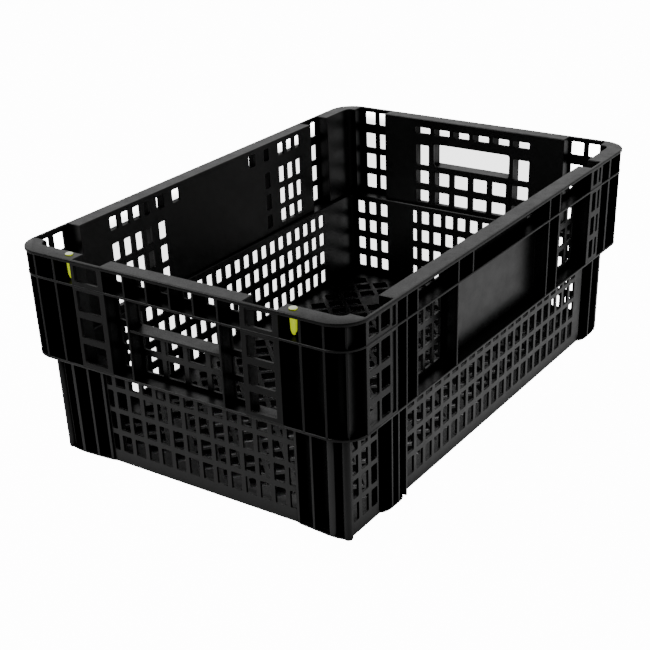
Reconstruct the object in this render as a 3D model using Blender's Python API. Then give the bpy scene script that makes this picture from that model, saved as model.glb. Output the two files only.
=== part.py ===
"""Stack-and-nest ventilated crate, 600 x 400 footprint, one injection moulding
with two colour-coded orientation tags clipped into the rim of one end.

The origin is at the centre of the footprint on the ground, +X along the long
side, +Z up.  The tagged end faces -X.  Constants are in millimetres; meshes
are turned into metres once built.

The shell is first modelled with upright walls and then given its mould draft
by drawing every level in towards the centre line.
"""
import math

import bmesh
import bpy

MM = 0.001

# A wall is named by an axis and a sign.  END walls face +-X and run along y,
# LONG walls face +-Y and run along x.  A pair of sizes is indexed by the axis.
END, LONG = 0, 1

# ------------------------------------------------------------- main dimensions
LENGTH = 600.0            # rim, along X
WIDTH = 400.0             # rim, along Y
HEIGHT = 230.0            # ground to rim top
DRAFT = 0.0175            # mm drawn in per mm below the rim
CORNER_R = 30.0           # outer corner of the rim
CORNER_STEPS = 5          # facets in a quarter round

RIM_T = 3.5               # thickness of the rim flange
RIM_Z0 = HEIGHT - RIM_T   # its underside
RIB_SET = 1.2             # ribs stop this far inside the rim's edge
ENVELOPE = (LENGTH / 2 - RIB_SET, WIDTH / 2 - RIB_SET)   # outer limit of the ribs
ENVELOPE_R = CORNER_R - RIB_SET
MID_Z0, MID_Z1 = 201.6, 204.2      # thin flange under the top band
MID_OVERHANG = 0.5                 # it stands out this far past the ribs
LEDGE_Z0, LEDGE_Z1 = 113.6, 116.4  # ledge where the body steps in

WALL_T = 2.6                       # upper wall skin
UPPER_INNER = (281.0, 181.0)       # inner faces of the upper wall
UPPER_INNER_R = 8.0
UPPER_OUTER = tuple(face + WALL_T for face in UPPER_INNER)
LOWER_T = 2.5                      # lower wall skin
LOWER_OUTER = (279.3, 179.3)       # outer faces of the lower wall
LOWER_INNER = tuple(face - LOWER_T for face in LOWER_OUTER)
LOWER_OUTER_R = 8.0
FLOOR_Z0, FLOOR_Z1 = 2.0, 8.0      # slab of the floor lattice
FLOOR_EDGE = 14.0                  # solid border round the floor

RIB_T = 2.2               # thickness of an upright rib

# How far one part bites into the next before they are joined
EMBED = 0.8               # ribs, feet and cheeks
UPPER_BITE = 0.9          # upper wall into ledge and rim, end bulges into ledge
LOWER_BITE = 1.2          # lower body into the ledge
FOOT_BITE = 0.7           # foot ribs and posts into the ledge
SOLE_BITE = 1.0           # foot ribs into the soles

# How far a cutting block runs past what it cuts
CAVITY_OVERCUT = 5.0
HOLE_OVERCUT = 2.0

# Channels stepped out of the upper wall for the feet of a turned crate:
# (from, to) along each wall
CHANNELS_NEG_X = [(-121.1, -83.8), (85.2, 120.5)]
CHANNELS_POS_X = [(-170.0, -125.0), (125.0, 170.0)]
CHANNELS_NEG_Y = [(-272.0, -225.0), (195.9, 221.2)]
CHANNELS_POS_Y = [(-270.0, -222.5), (194.0, 232.0)]

# Orientation tags; the slots and cheeks of the crate follow them
TAG_X, TAG_Y = -288.2, 132.8
TAG_W, TAG_D = 6.8, 3.6   # stem width along y, depth along x
TAG_GAP = 0.3


# --------------------------------------------------------------------- helpers
def clear_scene():
    for old in list(bpy.data.objects):
        bpy.data.objects.remove(old, do_unlink=True)


def arc(centre_x, centre_y, radius, start, stop, steps):
    """Points of an arc; angles in degrees."""
    points = []
    for i in range(steps + 1):
        angle = math.radians(start + (stop - start) * i / steps)
        points.append((centre_x + radius * math.cos(angle),
                       centre_y + radius * math.sin(angle)))
    return points


def round_rect(half_x, half_y, radius, steps=CORNER_STEPS, centre_x=0.0, centre_y=0.0):
    points = []
    for sign_x, sign_y, start in ((1, 1, 0), (-1, 1, 90), (-1, -1, 180), (1, -1, 270)):
        points += arc(centre_x + sign_x * (half_x - radius),
                      centre_y + sign_y * (half_y - radius),
                      radius, start, start + 90, steps)
    return points


def bridge(bm, lower, upper):
    """Side faces between two rings of vertices."""
    count = len(lower)
    for i in range(count):
        j = (i + 1) % count
        bm.faces.new((lower[i], lower[j], upper[j], upper[i]))


def prism(bm, loop, z0, z1):
    lower = [bm.verts.new((x, y, z0)) for x, y in loop]
    upper = [bm.verts.new((x, y, z1)) for x, y in loop]
    bm.faces.new(lower[::-1])
    bm.faces.new(upper)
    bridge(bm, lower, upper)


def box(bm, x0, x1, y0, y1, z0, z1):
    x0, x1 = min(x0, x1), max(x0, x1)
    y0, y1 = min(y0, y1), max(y0, y1)
    prism(bm, [(x0, y0), (x1, y0), (x1, y1), (x0, y1)], z0, z1)


def wall_box(bm, axis, sign, along, out, z0, z1):
    """Box on a wall: spans along the wall and outward from the centre."""
    across = (sign * out[0], sign * out[1])
    if axis == END:
        box(bm, *across, *along, z0, z1)
    else:
        box(bm, *along, *across, z0, z1)


def wall_prism(bm, axis, sign, plan, z0, z1):
    """Prism on a wall; plan points are (position along, outward distance)."""
    loop = [(sign * out, along) if axis == END else (along, sign * out)
            for along, out in plan]
    prism(bm, loop, z0, z1)


def solid(name, fill):
    """Object whose mesh is built by fill(bm)."""
    bm = bmesh.new()
    fill(bm)
    bmesh.ops.recalc_face_normals(bm, faces=bm.faces[:])
    mesh = bpy.data.meshes.new(name)
    bm.to_mesh(mesh)
    bm.free()
    built = bpy.data.objects.new(name, mesh)
    bpy.context.scene.collection.objects.link(built)
    return built


def boolean(target, tool, operation):
    """Apply one exact Boolean and drop the tool object."""
    modifier = target.modifiers.new(operation.lower(), 'BOOLEAN')
    modifier.operation = operation
    modifier.solver = 'EXACT'
    modifier.object = tool
    graph = bpy.context.evaluated_depsgraph_get()
    graph.update()
    result = bpy.data.meshes.new_from_object(target.evaluated_get(graph))
    target.modifiers.clear()
    old = target.data
    target.data = result
    bpy.data.meshes.remove(old)
    bpy.data.objects.remove(tool, do_unlink=True)


# ------------------------------------------------------ flanges and wall blocks
STEPPED_CORNER_STEPS = 3


def stepped_loop(half_sizes, radius, grow, channel_faces):
    """Plan of the upper wall: a rounded rectangle whose sides step out to
    channel_faces over each channel.  `grow` widens each channel's span."""
    half_x, half_y = half_sizes
    out_x, out_y = channel_faces
    centre_x, centre_y = half_x - radius, half_y - radius

    def side(spans, face, channel_face):
        """(position along, outward distance) in rising order."""
        points = []
        for start, stop in sorted(spans):
            points += [(start - grow, face), (start - grow, channel_face),
                       (stop + grow, channel_face), (stop + grow, face)]
        return points

    def corner(sign_x, sign_y, start):
        return arc(sign_x * centre_x, sign_y * centre_y, radius,
                   start, start + 90, STEPPED_CORNER_STEPS)

    loop = corner(1, 1, 0)
    loop += [(x, out) for x, out in reversed(side(CHANNELS_POS_Y, half_y, out_y))]
    loop += corner(-1, 1, 90)
    loop += [(-out, y) for y, out in reversed(side(CHANNELS_NEG_X, half_x, out_x))]
    loop += corner(-1, -1, 180)
    loop += [(x, -out) for x, out in side(CHANNELS_NEG_Y, half_y, out_y)]
    loop += corner(1, -1, 270)
    loop += [(out, y) for y, out in side(CHANNELS_POS_X, half_x, out_x)]
    return loop


def rim(bm):
    prism(bm, round_rect(LENGTH / 2, WIDTH / 2, CORNER_R), RIM_Z0, HEIGHT)


def upper_block(bm):
    loop = stepped_loop(UPPER_OUTER, UPPER_INNER_R + WALL_T, WALL_T, ENVELOPE)
    prism(bm, loop, LEDGE_Z0 + UPPER_BITE, HEIGHT - UPPER_BITE)


def mid_flange(bm):
    half_x, half_y = (limit + MID_OVERHANG for limit in ENVELOPE)
    prism(bm, round_rect(half_x, half_y, ENVELOPE_R + MID_OVERHANG), MID_Z0, MID_Z1)


def ledge(bm):
    prism(bm, round_rect(*ENVELOPE, ENVELOPE_R), LEDGE_Z0, LEDGE_Z1)


def lower_block(bm):
    prism(bm, round_rect(*LOWER_OUTER, LOWER_OUTER_R), 0.0, LEDGE_Z0 + LOWER_BITE)


def upper_cavity(bm):
    channel_faces = [limit - WALL_T for limit in ENVELOPE]
    prism(bm, stepped_loop(UPPER_INNER, UPPER_INNER_R, 0.0, channel_faces),
          LEDGE_Z1, HEIGHT + CAVITY_OVERCUT)


def lower_cavity(bm):
    prism(bm, round_rect(*LOWER_INNER, LOWER_OUTER_R - LOWER_T),
          FLOOR_Z1, LEDGE_Z1 + CAVITY_OVERCUT)


# --------------------------------------------------------- ribs of the upper wall
FULL_RIB = (LEDGE_Z1 - EMBED, RIM_Z0 + EMBED)    # ledge to rim
BAND_RIB = (MID_Z1 - EMBED, RIM_Z0 + EMBED)      # mid flange to rim
POS_X_RIB_T = 3.2
POS_X_RIB_SHIFT = -0.5    # the +X end's ribs stand this far towards -Y

GUSSET_Y = 190.0          # outer face of the gussets at the -X corners
GUSSET_X = 281.0          # outer face of the gussets at the +X corners


def envelope(axis, along):
    """Outward distance of the rib envelope at a position along a wall."""
    face, wall_end = ENVELOPE[axis], ENVELOPE[1 - axis]
    over = abs(along) - (wall_end - ENVELOPE_R)
    if over <= 0:
        return face
    return face - ENVELOPE_R + math.sqrt(max(ENVELOPE_R ** 2 - over ** 2, 0.0))


def upper_ribs(bm):
    def ribs(axis, sign, centres, thickness, heights):
        for centre in centres:
            along = (centre - thickness / 2, centre + thickness / 2)
            outer = min(envelope(axis, edge) for edge in along)
            wall_box(bm, axis, sign, along, (UPPER_OUTER[axis] - EMBED, outer), *heights)

    ribs(END, -1, (-56, 56), RIB_T, FULL_RIB)
    ribs(END, -1, (-171.0, 171.0), 2.4, FULL_RIB)
    ribs(END, -1, (-146.4, 146.0), 2.7, FULL_RIB)
    for y in (-106, -84, -56, 56, 84, 106):
        ribs(END, 1, [y + POS_X_RIB_SHIFT], POS_X_RIB_T, FULL_RIB)
    for y in (-28, 0, 28):
        ribs(END, -1, [y], RIB_T, BAND_RIB)
        ribs(END, 1, [y + POS_X_RIB_SHIFT], POS_X_RIB_T, BAND_RIB)
    ribs(LONG, -1, (-206.2, -187.2, -110.8, 88, 113), RIB_T, FULL_RIB)
    ribs(LONG, -1, [245.3], 4.0, FULL_RIB)
    ribs(LONG, 1, (-208, -190, -113, 88, 113, 253), RIB_T, FULL_RIB)
    for sign in (-1, 1):
        ribs(LONG, sign, [-82], RIB_T, BAND_RIB)

    # corner gussets, between the flanges and the side of the last channel
    neg_x_inner = abs(CHANNELS_NEG_Y[0][0]) + WALL_T - EMBED
    pos_x_inner = CHANNELS_POS_X[1][1] + WALL_T - EMBED
    for sign in (-1, 1):
        box(bm, -envelope(END, GUSSET_Y), -neg_x_inner,
            sign * (GUSSET_Y - RIB_T), sign * GUSSET_Y, *FULL_RIB)
        box(bm, GUSSET_X - RIB_T, GUSSET_X,
            sign * pos_x_inner, sign * envelope(LONG, GUSSET_X), *FULL_RIB)


# ------------------------------------------------------- feet of the lower wall
FOOT_OUTER = (283.8, 185.4)        # outer faces of the stacking feet
FOOT_X, FOOT_Y = FOOT_OUTER
SOLE_T = 3.0
FEET_POS_X = [(-115.0, -88.0), (88.0, 115.0)]       # spans in y
FEET_LONG = [(-225.0, -187.0), (229.5, 268.0)]      # spans in x
LONG_FOOT_RIBS = (-211.2, -199.0, -184.8, 246.8, 266.9)    # centres in x

# outer edge of the soles under the -X end: (y, outward distance)
SOLES_NEG_X = [
    [(-176.0, 282.0), (-167.0, FOOT_X), (-158.0, FOOT_X),
     (-141.0, 282.8), (-122.5, 281.2), (-118.5, 279.5)],
    [(113.5, 279.5), (117.5, 281.2), (136.0, 282.8),
     (154.0, FOOT_X), (162.0, FOOT_X), (175.0, 282.0)],
]
# ribs on the feet of the -X end: (from y, to y, outer face)
FOOT_RIBS_NEG_X = [
    (-166.9, -158.5, FOOT_X), (-142.7, -140.4, 282.8), (-124.0, -121.7, 281.3),
    (115.8, 119.2, 281.3), (134.4, 137.4, 282.8), (153.6, 157.3, FOOT_X),
]
BROAD_RIB = 5.0           # foot ribs at least this wide have rounded edges
BROAD_RIB_R = 3.0
BROAD_RIB_STEPS = 3

POST_OUTER = (282.0, 182.0)        # outer faces of the corner posts
POST_W, POST_R = 9.0, 4.4
POST_STEPS = 4


def feet(bm):
    """Soles: a low pad under each foot, its ends drawn back."""
    def sole(axis, sign, edge):
        inner = LOWER_OUTER[axis] - EMBED
        plan = [(edge[0][0], inner)] + edge + [(edge[-1][0], inner)]
        wall_prism(bm, axis, sign, plan, 0.0, SOLE_T)

    for edge in SOLES_NEG_X:
        sole(END, -1, edge)
    for start, stop in FEET_POS_X:
        sole(END, 1, [(start, FOOT_X - 3.0), (start + 4.0, FOOT_X),
                      (stop - 4.0, FOOT_X), (stop, FOOT_X - 3.0)])
    for start, stop in FEET_LONG:
        for sign in (-1, 1):
            sole(LONG, sign, [(start, FOOT_Y - 5.5), (start + 3.0, FOOT_Y - 2.8),
                              (start + 13, FOOT_Y), (stop - 4, FOOT_Y),
                              (stop, FOOT_Y - 3.5)])


def foot_ribs(bm):
    def rib(axis, sign, start, stop, outer):
        inner = LOWER_OUTER[axis] - EMBED
        heights = (SOLE_T - SOLE_BITE, LEDGE_Z0 + FOOT_BITE)
        if stop - start < BROAD_RIB:
            wall_box(bm, axis, sign, (start, stop), (inner, outer), *heights)
            return
        radius = BROAD_RIB_R
        plan = [(start, inner)]
        for centre, angle in ((start + radius, -90), (stop - radius, 0)):
            plan += [(along, out) for out, along in
                     arc(outer - radius, centre, radius, angle, angle + 90,
                         BROAD_RIB_STEPS)]
        plan.append((stop, inner))
        wall_prism(bm, axis, sign, plan, *heights)

    def thin_rib(axis, sign, centre):
        rib(axis, sign, centre - RIB_T / 2, centre + RIB_T / 2, FOOT_OUTER[axis])

    for start, stop, outer in FOOT_RIBS_NEG_X:
        rib(END, -1, start, stop, outer)
    for start, stop in FEET_POS_X:
        for y in (start + RIB_T / 2, (start + stop) / 2, stop - RIB_T / 2):
            thin_rib(END, 1, y)
    for sign in (-1, 1):
        for x in LONG_FOOT_RIBS:
            thin_rib(LONG, sign, x)


def posts(bm):
    """Rounded posts at the corners of the lower wall."""
    centre_x, centre_y = (face - POST_W / 2 for face in POST_OUTER)
    for sign_x in (-1, 1):
        for sign_y in (-1, 1):
            loop = round_rect(POST_W / 2, POST_W / 2, POST_R, POST_STEPS,
                              sign_x * centre_x, sign_y * centre_y)
            prism(bm, loop, 0.0, LEDGE_Z0 + FOOT_BITE)


# --------------------------------- blind pockets between the -X end's foot ribs
POCKET_D = 8.0            # how far they reach in from the lower wall's face
POCKET_SPANS = [(-173.0, -166.9), (-158.5, -142.7), (-140.4, -124.0),
                (119.2, 134.4), (137.4, 153.6), (157.3, 171.5)]     # in y
POCKET_SILL = 1.4         # pocket bottom above the sole
POCKET_HEAD = 0.2         # pocket top below the ledge
POCKET_OVERCUT = 20.0
BULGE_Y = 117.9           # side of each bulge nearer the centre line,
BULGE_SHIFT = -1.8        # both moved this far along y
BULGE_INSET = 1.2         # bulges stop this far inside the lower wall's face
BULGE_LIFT = 0.6          # and start this far above the floor's underside


def bulges(bm):
    """The wall stepped in behind the pockets."""
    outer_x, outer_y = (face - BULGE_INSET for face in LOWER_OUTER)
    for sign in (-1, 1):
        box(bm, -outer_x, -(LOWER_INNER[END] - POCKET_D),
            BULGE_Y * sign + BULGE_SHIFT, sign * outer_y,
            FLOOR_Z0 + BULGE_LIFT, LEDGE_Z0 + UPPER_BITE)


def pockets(bm):
    face = LOWER_OUTER[END]
    for span in POCKET_SPANS:
        wall_box(bm, END, -1, span, (face - POCKET_D, face + POCKET_OVERCUT),
                 SOLE_T + POCKET_SILL, LEDGE_Z0 - POCKET_HEAD)


# ------------------------------------------------------------ windows and sills
# rows of windows: (bottom, top)
ROWS_LOWER = [(15.0, 34.0), (40.0, 59.5), (65.0, 84.5), (90.0, 109.5)]
ROWS_LONG = [(123.0, 142.0), (147.5, 167.5), (173.5, 195.5), (209.5, 224.5)]
ROWS_CHANNEL = [(121.0, 142.0), (149.0, 170.0), (177.0, 199.0), (208.0, 225.0)]
ROWS_END = [(120.5, 139.0), (145.0, 164.5)]
ROW_END_TOP = (210.5, 221.0)
ROW_END_TALL = (171.0, 198.0)

# hand hold in each end wall, and the shelf under it
GRIP_Z = (171.0, 200.8)
GRIP_HALF = 54.0
SILL_T = 2.6
SILL_HALF = 56.0
SILL_SET = 0.6            # the sill stops this far inside the rib envelope

SQUARE_PITCH = 27.6       # square windows around the hand hold
SQUARE_W = 22.0

# lattice of the lower wall
LATTICE_BAR = 5.0
LATTICE_END_PITCH, LATTICE_LONG_PITCH = 35.6, 35.42
LATTICE_END_MIDDLE = -3.0          # y of the lattice's middle, -X end
LATTICE_END_COUNT = 7
LATTICE_END_LIMITS = (-119.6, 113.8)
LATTICE_LONG_BAR = -175.7          # x of the first bar, long walls

# windows in the upper long walls: spans in x
SPANS_NEG_Y = [(94.0, 108.0), (118.5, 130.5), (134.0, 147.0),
               (151.0, 165.0), (170.0, 183.0)]      # and mirrored
SPANS_POS_Y = [(-178.7, -167.0), (-160.4, -148.8), (-142.0, -130.7), (-124.5, -115.5),
               (-103.7, -91.3), (94.0, 104.0), (123.5, 135.2), (141.6, 153.1),
               (159.2, 169.6)]

# which skin a window goes through: (outer end of the cut on each axis, its depth)
CUT_CLEAR = 0.05
LOWER_CUT = ([face + CUT_CLEAR for face in LOWER_OUTER], LOWER_T + 3)
UPPER_CUT = ([face + CUT_CLEAR for face in UPPER_OUTER], WALL_T + 3)
CHANNEL_CUT = ([limit + 3 for limit in ENVELOPE], WALL_T + 5)


def mirrored(spans):
    return [(-stop, -start) for start, stop in spans] + list(spans)


def spaced(first, width, pitch, count):
    """Equal spans, the first starting at `first`."""
    return [(first + i * pitch, first + i * pitch + width) for i in range(count)]


def sills(bm):
    for sign in (-1, 1):
        wall_box(bm, END, sign, (-SILL_HALF, SILL_HALF),
                 (UPPER_OUTER[END] - EMBED, ENVELOPE[END] - SILL_SET),
                 GRIP_Z[0] - SILL_T, GRIP_Z[0])


def windows(bm):
    def cut(skin, axis, sign, spans, rows):
        outer = skin[0][axis]
        for span in spans:
            for z0, z1 in rows:
                wall_box(bm, axis, sign, span, (outer - skin[1], outer), z0, z1)

    # end walls, upper half
    squares = spaced(-2.5 * SQUARE_PITCH - SQUARE_W / 2, SQUARE_W, SQUARE_PITCH, 6)
    for sign in (-1, 1):
        cut(UPPER_CUT, END, sign, squares, ROWS_END)
        cut(UPPER_CUT, END, sign, squares, [ROW_END_TOP])
        cut(UPPER_CUT, END, sign, [squares[0], squares[-1]], [ROW_END_TALL])
        cut(UPPER_CUT, END, sign, [(-GRIP_HALF, GRIP_HALF)], [GRIP_Z])
    cut(CHANNEL_CUT, END, -1, [(-117.0, -86.9), (88.9, 119.0)], ROWS_CHANNEL)
    cut(CHANNEL_CUT, END, 1, mirrored([(127.6, 144.5), (149.0, 164.5)]), ROWS_CHANNEL)

    # long walls, upper half
    cut(UPPER_CUT, LONG, -1, mirrored(SPANS_NEG_Y), ROWS_LONG)
    cut(UPPER_CUT, LONG, 1, SPANS_POS_Y, ROWS_LONG)
    for sign in (-1, 1):
        cut(UPPER_CUT, LONG, sign, mirrored([(64.0, 77.0)]), ROWS_LONG[3:])
    cut(CHANNEL_CUT, LONG, -1,
        [(-270.0, -254.0), (-250.5, -235.4), (199.3, 209.3), (214.0, 219.6)],
        ROWS_CHANNEL)
    cut(CHANNEL_CUT, LONG, 1,
        [(-266.5, -252.0), (-246.0, -231.5), (197.0, 210.0), (216.0, 227.6)],
        ROWS_LONG)

    # lower lattice
    first = (LATTICE_END_MIDDLE - LATTICE_END_COUNT / 2 * LATTICE_END_PITCH
             + LATTICE_BAR / 2)
    low_limit, high_limit = LATTICE_END_LIMITS
    for start, stop in spaced(first, LATTICE_END_PITCH - LATTICE_BAR,
                              LATTICE_END_PITCH, LATTICE_END_COUNT):
        span = (max(start, low_limit), min(stop, high_limit))
        cut(LOWER_CUT, END, -1, [span], ROWS_LOWER)
    cut(LOWER_CUT, END, 1, spaced(first=-67.4, width=28.2, pitch=35.7, count=4),
        ROWS_LOWER)
    cut(LOWER_CUT, END, 1, mirrored([(121.2, 140.0), (146.4, 167.2)]), ROWS_LOWER)
    long_spans = spaced(LATTICE_LONG_BAR + LATTICE_BAR / 2,
                        LATTICE_LONG_PITCH - LATTICE_BAR, LATTICE_LONG_PITCH, 11)
    for sign in (-1, 1):
        cut(LOWER_CUT, LONG, sign, long_spans, ROWS_LOWER)
        cut(LOWER_CUT, LONG, sign, [(-271.0, -252.5), (-248.0, -229.0)], ROWS_LOWER)


# ------------------------------------------------------------------------ floor
DIAMOND_PITCH = 66.0      # spacing of the diamond openings
DIAMOND_BAR = 9.0         # bar between two diamonds
UNDERSIDE_R = 6.0         # corner of the recess under the floor


def underside(bm):
    half_x, half_y = (face - FLOOR_EDGE for face in LOWER_OUTER)
    prism(bm, round_rect(half_x, half_y, UNDERSIDE_R), -CAVITY_OVERCUT, FLOOR_Z0)


def diamonds(bm):
    half_x, half_y = (face - FLOOR_EDGE for face in LOWER_INNER)
    step = DIAMOND_PITCH / 2
    reach = step - DIAMOND_BAR / math.sqrt(2)      # centre to corner
    count_x, count_y = int(half_x // step), int(half_y // step)
    for i in range(-count_x, count_x + 1):
        for j in range(-count_y, count_y + 1):
            x, y = i * step, j * step
            if (i + j) % 2 or abs(x) + reach > half_x or abs(y) + reach > half_y:
                continue
            prism(bm, [(x + reach, y), (x, y + reach), (x - reach, y), (x, y - reach)],
                  FLOOR_Z0 - HOLE_OVERCUT, FLOOR_Z1 + HOLE_OVERCUT)


# ------------------------------------------------------- seats for the two tags
CHEEK_T = 1.6
CHEEK_OFFSET = 1.6        # stem's side to the middle of the cheek
CHEEK_X0, CHEEK_X1 = TAG_X - 3.2, TAG_X + 3.4
CHEEK_H = 5.0             # above the mid flange


def cheeks(bm):
    """Guide cheeks under each tag's slot."""
    for tag_side in (-1, 1):
        for side in (-1, 1):
            y = tag_side * TAG_Y + side * (TAG_W / 2 + CHEEK_OFFSET)
            box(bm, CHEEK_X0, CHEEK_X1, y - CHEEK_T / 2, y + CHEEK_T / 2,
                MID_Z1 - EMBED, MID_Z1 + CHEEK_H)


def slots(bm):
    half_x = TAG_D / 2 + TAG_GAP
    half_y = TAG_W / 2 + TAG_GAP
    for side in (-1, 1):
        y = side * TAG_Y
        box(bm, TAG_X - half_x, TAG_X + half_x, y - half_y, y + half_y,
            RIM_Z0 - HOLE_OVERCUT, HEIGHT + HOLE_OVERCUT)


# -------------------------------------------------------------------- the crate
# Steps in order: the lower body is hollowed before the bulges are added to it.
CRATE_STEPS = [
    ('UNION', (upper_block, mid_flange, ledge, lower_block, upper_ribs,
               feet, foot_ribs, posts, sills, cheeks)),
    ('DIFFERENCE', (upper_cavity, lower_cavity)),
    ('UNION', (bulges,)),
    ('DIFFERENCE', (pockets, underside, windows, diamonds, slots)),
]


def build_crate():
    body = solid('crate_body', rim)
    for operation, parts in CRATE_STEPS:
        for part in parts:
            boolean(body, solid(part.__name__, part), operation)

    # mould draft, then metres
    for vertex in body.data.vertices:
        drawn_in = DRAFT * (HEIGHT - vertex.co.z)
        vertex.co.x *= 1.0 - drawn_in / (LENGTH / 2)
        vertex.co.y *= 1.0 - drawn_in / (WIDTH / 2)
        vertex.co *= MM
    tidy(body)
    set_material(body, 'crate_plastic', colour=(0.012, 0.012, 0.013), roughness=0.42)


def tidy(body):
    """Drop needless points on flat faces and make one clean closed skin."""
    bm = bmesh.new()
    bm.from_mesh(body.data)
    bmesh.ops.remove_doubles(bm, verts=bm.verts[:], dist=2e-6)
    bmesh.ops.dissolve_degenerate(bm, dist=1e-6, edges=bm.edges[:])
    bmesh.ops.dissolve_limit(bm, angle_limit=math.radians(0.05),
                             verts=bm.verts[:], edges=bm.edges[:])
    bmesh.ops.triangulate(bm, faces=bm.faces[:])
    bmesh.ops.recalc_face_normals(bm, faces=bm.faces[:])
    bm.to_mesh(body.data)
    bm.free()


def set_material(target, name, colour, roughness):
    """Give the object one plastic, dropping any slots left by the Booleans."""
    plastic = bpy.data.materials.new(name)
    plastic.use_nodes = True
    shader = plastic.node_tree.nodes['Principled BSDF']
    shader.inputs['Base Color'].default_value = (*colour, 1.0)
    shader.inputs['Roughness'].default_value = roughness
    plastic.diffuse_color = (*colour, 1.0)
    target.data.materials.clear()
    target.data.materials.append(plastic)


# --------------------------------------------------------------------- the tags
# A tag is modelled about its slide axis, with z = 0 at the rim top.
HEAD_R = 4.0
HEAD_T = 1.5
HEAD_SHIFT = 0.3          # the head sits a little inboard of the stem
HEAD_STEPS = 20
STEM_TIP_Z = 205.4 - HEIGHT
STEM_CHAMFER = 0.6

# rings of the domed head: (radius, z)
HEAD_RINGS = [
    (HEAD_R - 0.5, TAG_GAP), (HEAD_R, TAG_GAP + 0.4),
    (HEAD_R - 0.2, TAG_GAP + 0.9), (HEAD_R * 0.62, TAG_GAP + HEAD_T * 0.92),
]
# sections of the stem, top to tip: (half width in y, half depth in x, z)
STEM_SECTIONS = [
    (TAG_W / 2, TAG_D / 2, TAG_GAP + 0.5),
    (TAG_W / 2, TAG_D / 2, -RIM_T - 3.0),
    (TAG_W / 2 - 0.5, TAG_D / 2 - 0.3, STEM_TIP_Z + 5.0),
    (TAG_W / 2 - 1.6, TAG_D / 2 - 0.9, STEM_TIP_Z + 1.0),
    (TAG_W / 2 - 2.3, TAG_D / 2 - 1.3, STEM_TIP_Z),
]


def tag_head(bm):
    angles = [2 * math.pi * i / HEAD_STEPS for i in range(HEAD_STEPS)]
    rings = [[bm.verts.new((HEAD_SHIFT + radius * math.cos(angle),
                            radius * math.sin(angle), z)) for angle in angles]
             for radius, z in HEAD_RINGS]
    apex = bm.verts.new((HEAD_SHIFT, 0, TAG_GAP + HEAD_T))
    bm.faces.new(rings[0][::-1])
    for lower, upper in zip(rings, rings[1:]):
        bridge(bm, lower, upper)
    for i in range(HEAD_STEPS):
        bm.faces.new((rings[-1][i], rings[-1][(i + 1) % HEAD_STEPS], apex))


def tag_stem(bm):
    rings = []
    for half_w, half_d, z in STEM_SECTIONS:
        chamfer = min(STEM_CHAMFER, half_d * 0.5)
        flat_w, flat_d = half_w - chamfer, half_d - chamfer
        outline = [(half_d, -flat_w), (half_d, flat_w), (flat_d, half_w),
                   (-flat_d, half_w), (-half_d, flat_w), (-half_d, -flat_w),
                   (-flat_d, -half_w), (flat_d, -half_w)]
        rings.append([bm.verts.new((x, y, z)) for x, y in outline])
    bm.faces.new(rings[0])
    bm.faces.new(rings[-1][::-1])
    for upper, lower in zip(rings, rings[1:]):
        bridge(bm, lower, upper)


def build_tag(name, side):
    """Push-in tag: domed head over the rim, flat tapered stem through it."""
    tag = solid(name, tag_head)
    boolean(tag, solid(name + '_stem', tag_stem), 'UNION')
    for vertex in tag.data.vertices:
        vertex.co *= MM
    tag.data.shade_smooth()
    tag.data.set_sharp_from_angle(angle=math.radians(35))
    tag.location = (TAG_X * MM, side * TAG_Y * MM, HEIGHT * MM)
    set_material(tag, name + '_plastic', colour=(0.55, 0.60, 0.04), roughness=0.45)


def main():
    clear_scene()
    build_crate()
    build_tag('orientation_tag_left', side=1)
    build_tag('orientation_tag_right', side=-1)


main()
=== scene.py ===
"""A stack-and-nest crate in black moulded plastic with two yellow-green tags in its
rim, on a pale floor in soft studio light.

The crate stands on z = 0, centred on the origin, its length along X and its width
along Y. The end walls face -X and +X, the side walls -Y and +Y; the camera looks from
-X, -Y, so the walls on those sides are called near and the other two far. The crate is
modelled upright in millimetres, then drafted inward towards its foot and scaled to metres.
"""
import math

import bmesh
import bpy
from mathutils import Matrix, Vector


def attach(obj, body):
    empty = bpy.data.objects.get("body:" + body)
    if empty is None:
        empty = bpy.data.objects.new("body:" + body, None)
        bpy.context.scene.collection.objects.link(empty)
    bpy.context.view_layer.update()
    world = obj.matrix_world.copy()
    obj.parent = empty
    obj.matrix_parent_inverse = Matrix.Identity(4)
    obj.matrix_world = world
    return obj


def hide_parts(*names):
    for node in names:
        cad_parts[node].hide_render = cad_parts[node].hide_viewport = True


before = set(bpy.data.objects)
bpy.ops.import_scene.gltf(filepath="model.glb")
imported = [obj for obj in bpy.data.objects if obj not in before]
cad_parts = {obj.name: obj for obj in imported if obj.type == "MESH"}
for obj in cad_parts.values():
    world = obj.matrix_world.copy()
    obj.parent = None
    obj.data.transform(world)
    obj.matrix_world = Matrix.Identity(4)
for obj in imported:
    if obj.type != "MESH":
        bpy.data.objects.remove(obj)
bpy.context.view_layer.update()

MM = 0.001

# ---------------------------------------------------------------- dimensions
# Pairs of half sizes are (x, y), measured from the crate's middle.
LENGTH, WIDTH, HEIGHT = 600.0, 400.0, 230.0
DRAFT = 0.0175                    # inward lean per mm below the rim
CORNER_RADIUS, CORNER_STEPS = 30.0, 14
RIM_HEIGHT, RIB_SETBACK = 3.5, 1.2
RIM_BOTTOM = HEIGHT - RIM_HEIGHT
MID_BOTTOM, MID_TOP = 201.6, 204.2        # flange round the upper walls
LEDGE_BOTTOM, LEDGE_TOP = 113.6, 116.4    # ledge between lower and upper walls
WALL = 2.6
RIB = 2.2
EMBED = 0.8                       # overlap of joined pieces

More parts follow.
